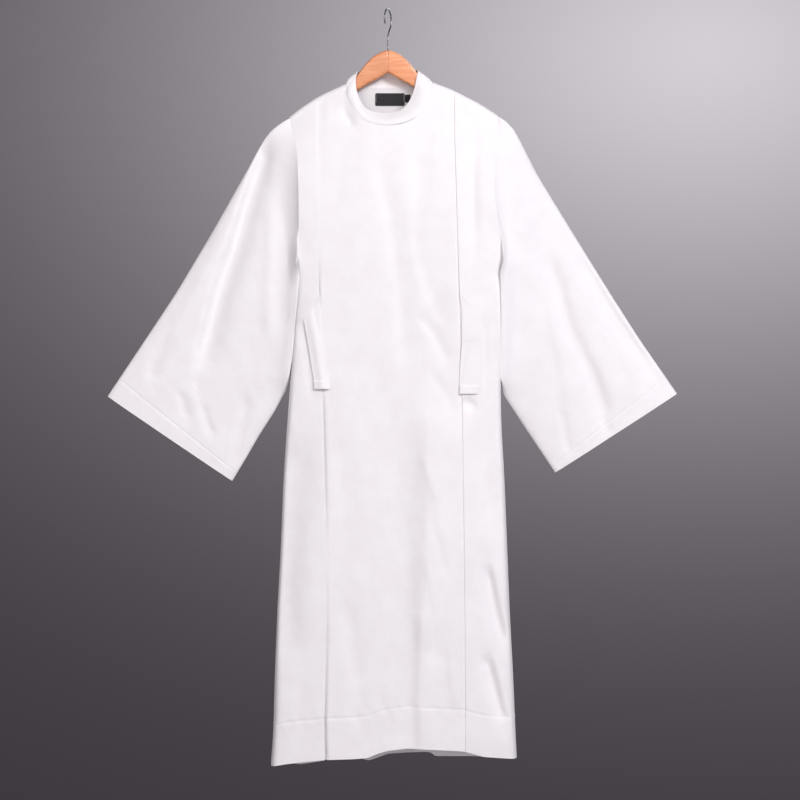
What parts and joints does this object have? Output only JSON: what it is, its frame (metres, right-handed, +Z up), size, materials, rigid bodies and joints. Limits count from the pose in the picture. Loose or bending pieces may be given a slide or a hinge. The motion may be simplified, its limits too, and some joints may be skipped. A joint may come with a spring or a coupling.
{
  "type": "alb robe on a wooden hanger",
  "caption": "White vestment robe with stand collar, wide sleeves, two front pleats and belt tabs, hanging on a wooden hanger with a wire hook.",
  "frame": {"origin": "inside top of the hook's loop, where it rests on what it hangs from", "axes": "+Z up along the hanging robe, -Y out of the robe's front, +X to the right of someone who looks at the front"},
  "size_m": [1.1997, 0.1117, 1.5945],
  "materials": {
    "white_cloth": "matt plain weave",
    "black_label": "woven tape",
    "hanger_wood": "satin varnish",
    "hook_wire": "polished wire"
  },
  "bodies": {
    "root": {"front_centre": "white_cloth", "front_side_left": "white_cloth", "front_side_right": "white_cloth", "back": "white_cloth", "sleeve_left": "white_cloth", "sleeve_right": "white_cloth", "collar_band": "white_cloth", "belt_tab_left": "white_cloth", "belt_tab_right": "white_cloth", "neck_label": "black_label", "size_tab": "black_label", "hanger_arm_left": "hanger_wood", "hanger_arm_right": "hanger_wood", "hanger_hook": "hook_wire"}
  },
  "joints": []
}
